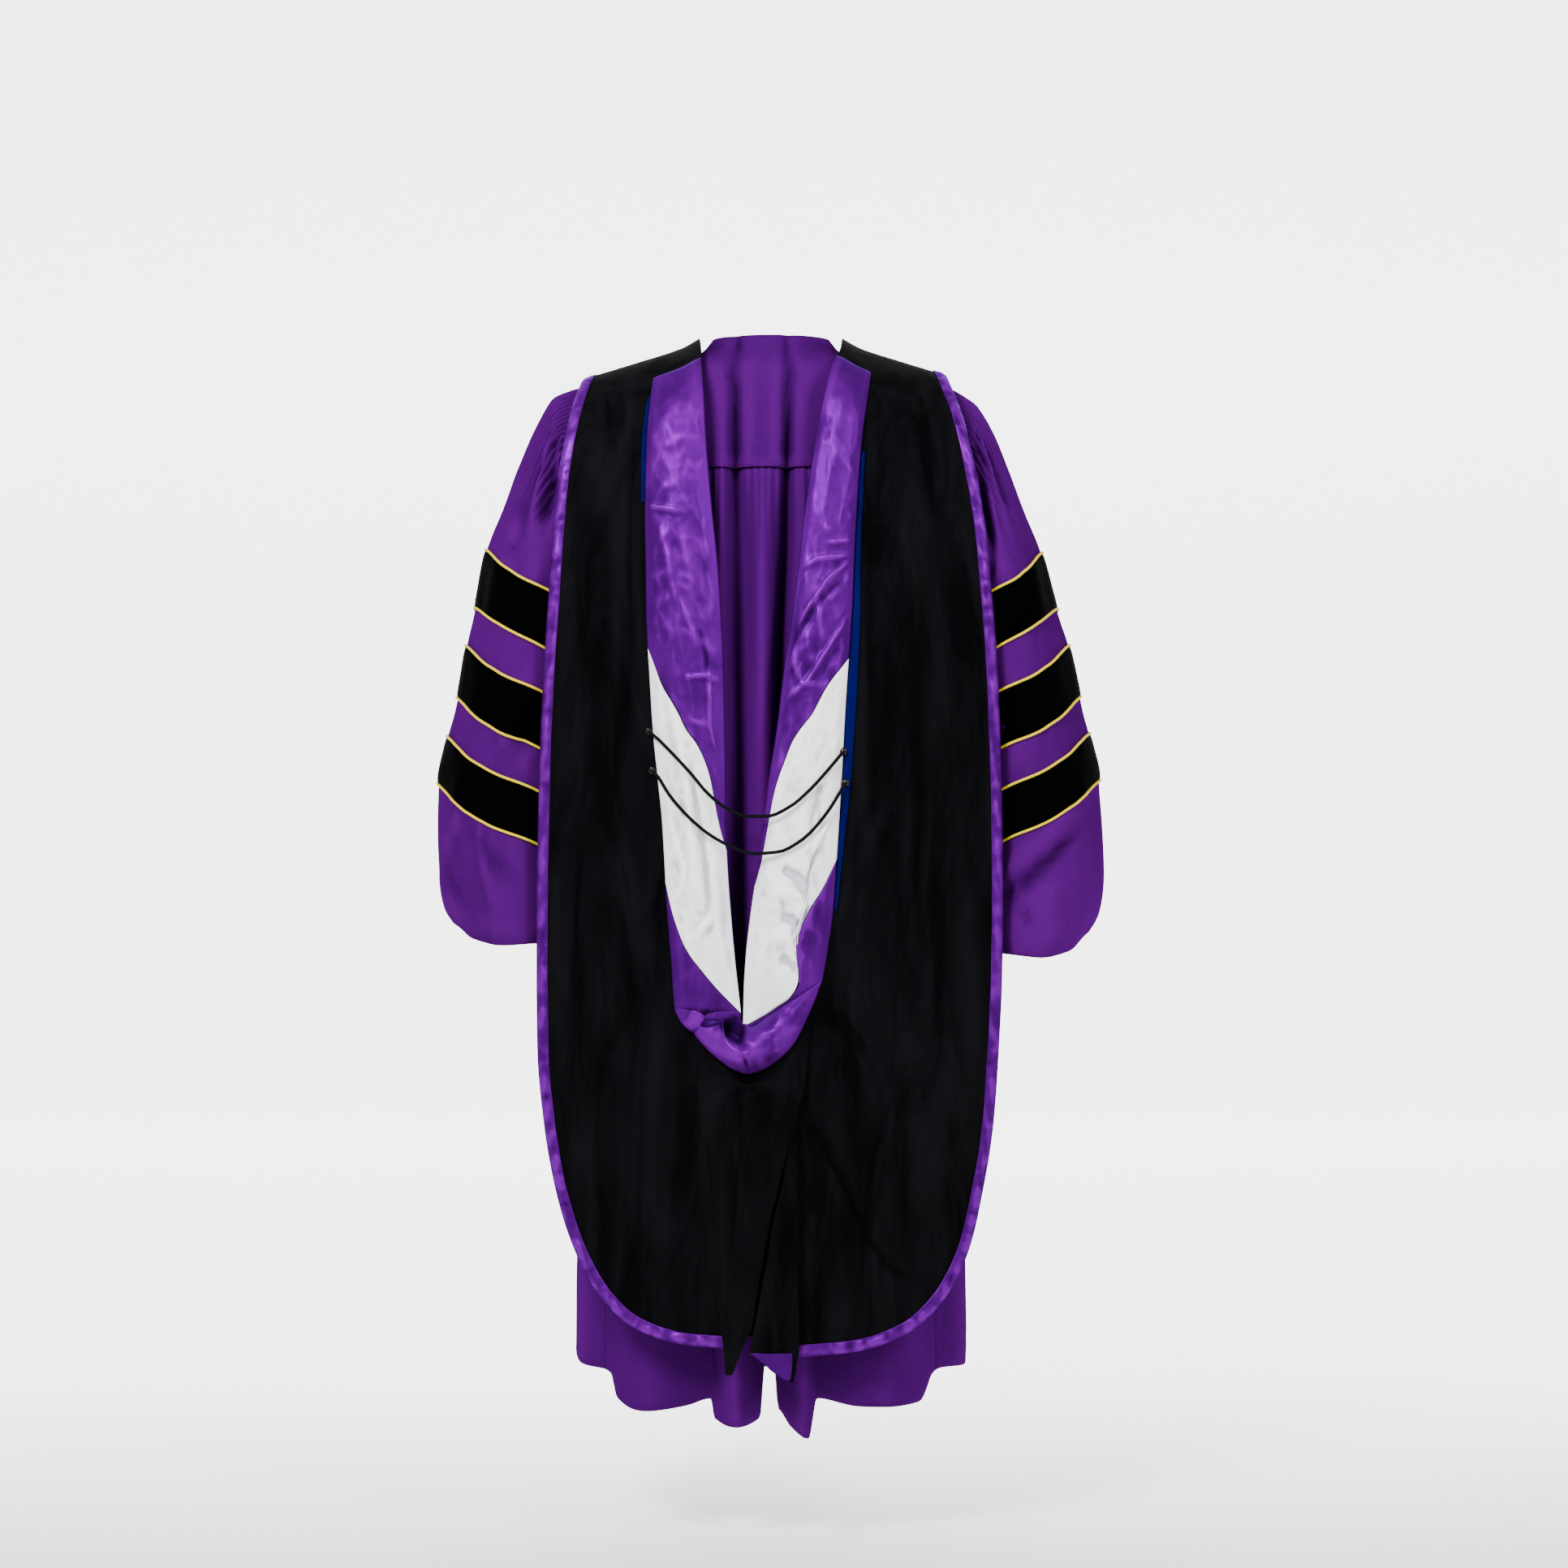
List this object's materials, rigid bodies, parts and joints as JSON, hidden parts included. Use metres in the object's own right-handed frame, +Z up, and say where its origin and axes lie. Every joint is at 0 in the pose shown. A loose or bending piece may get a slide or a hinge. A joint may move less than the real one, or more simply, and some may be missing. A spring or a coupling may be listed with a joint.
{
  "type": "doctoral gown with hood",
  "caption": "Hollow full-length doctoral gown with full sleeves, velvet sleeve bars edged with gold piping, and a velvet hood with a turned-out satin lining down the back.",
  "frame": {"origin": "middle of the neck base, where the wearer's neck and shoulders hold the gown, 1.42 m above the floor", "axes": "+Z up, the front of the gown faces -Y, its back and the hood face +Y, and +X is the wearer's left"},
  "size_m": [0.8328, 0.4413, 1.3202],
  "materials": {
    "gown_cloth": "matte woven purple",
    "bar_velvet": "deep black velvet",
    "hood_velvet": "black velvet with a soft nap",
    "border_satin": "purple satin",
    "lining_satin": "glossy purple satin",
    "chevron_satin": "white satin",
    "blue_velvet": "royal blue velvet",
    "gold_piping": "yellow corded piping",
    "black_cord": "smooth round cord",
    "black_button": "plain dark button"
  },
  "bodies": {
    "root": {"back_centre": "gown_cloth", "yoke_back": "gown_cloth", "back_side_left": "gown_cloth", "front_left": "gown_cloth", "yoke_front_left": "gown_cloth", "back_side_right": "gown_cloth", "front_right": "gown_cloth", "yoke_front_right": "gown_cloth", "sleeve_left": "gown_cloth", "bar_left_1": "bar_velvet", "piping_left_1_1": "gold_piping", "piping_left_1_2": "gold_piping", "bar_left_2": "bar_velvet", "piping_left_2_1": "gold_piping", "piping_left_2_2": "gold_piping", "bar_left_3": "bar_velvet", "piping_left_3_1": "gold_piping", "piping_left_3_2": "gold_piping", "sleeve_right": "gown_cloth", "bar_right_1": "bar_velvet", "piping_right_1_1": "gold_piping", "piping_right_1_2": "gold_piping", "bar_right_2": "bar_velvet", "piping_right_2_1": "gold_piping", "piping_right_2_2": "gold_piping", "bar_right_3": "bar_velvet", "piping_right_3_1": "gold_piping", "piping_right_3_2": "gold_piping", "hood_panel_left": "hood_velvet", "hood_border_left": "border_satin", "hood_lining_left_upper": "lining_satin", "hood_chevron_left": "chevron_satin", "hood_lining_left_lower": "lining_satin", "hood_velvet_edge_left": "blue_velvet", "hood_panel_right": "hood_velvet", "hood_border_right": "border_satin", "hood_lining_right_upper": "lining_satin", "hood_chevron_right": "chevron_satin", "hood_lining_right_lower": "lining_satin", "hood_velvet_edge_right": "blue_velvet", "hood_roll": "lining_satin", "hood_tail_main": "hood_velvet", "hood_tail_side": "hood_velvet", "hood_tail_corner": "lining_satin", "hood_cord_upper": "black_cord", "hood_button_upper_left": "black_button", "hood_button_upper_right": "black_button", "hood_cord_lower": "black_cord", "hood_button_lower_left": "black_button", "hood_button_lower_right": "black_button"}
  },
  "joints": []
}
